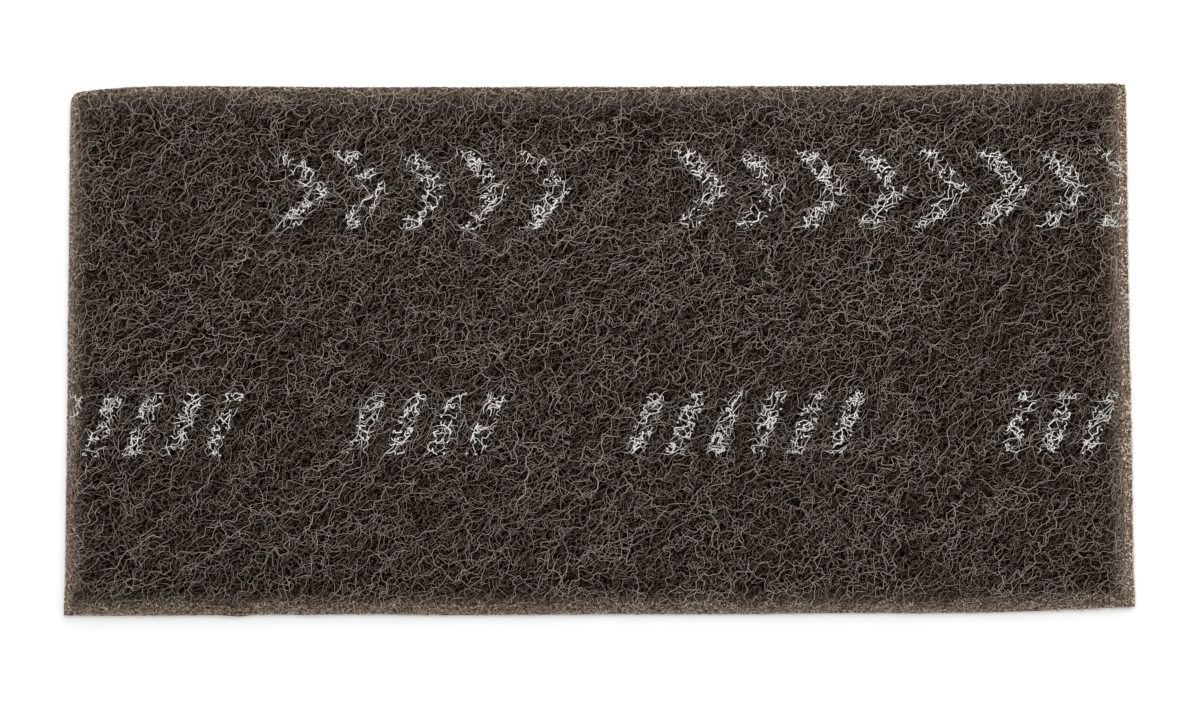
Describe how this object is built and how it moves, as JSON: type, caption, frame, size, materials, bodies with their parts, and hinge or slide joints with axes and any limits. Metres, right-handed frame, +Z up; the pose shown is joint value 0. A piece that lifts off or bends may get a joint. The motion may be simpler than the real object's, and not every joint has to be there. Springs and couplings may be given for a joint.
{
  "type": "non-woven abrasive pad",
  "caption": "Flat rectangular hand pad of lofty, resin-bonded abrasive fibre web, with pinched die-cut edges.",
  "frame": {"origin": "middle of the footprint, on the surface the pad lies on", "axes": "+X along the pad's length, +Y from the front edge to the back edge, +Z up through its thickness"},
  "size_m": [0.2306, 0.115, 0.0064],
  "materials": {
    "fibre_web": "matt dark grey-brown crimped fibre web, coated with fine abrasive grain; the cut edges are paler and tan"
  },
  "bodies": {
    "root": {"abrasive_pad": "fibre_web"}
  },
  "joints": []
}
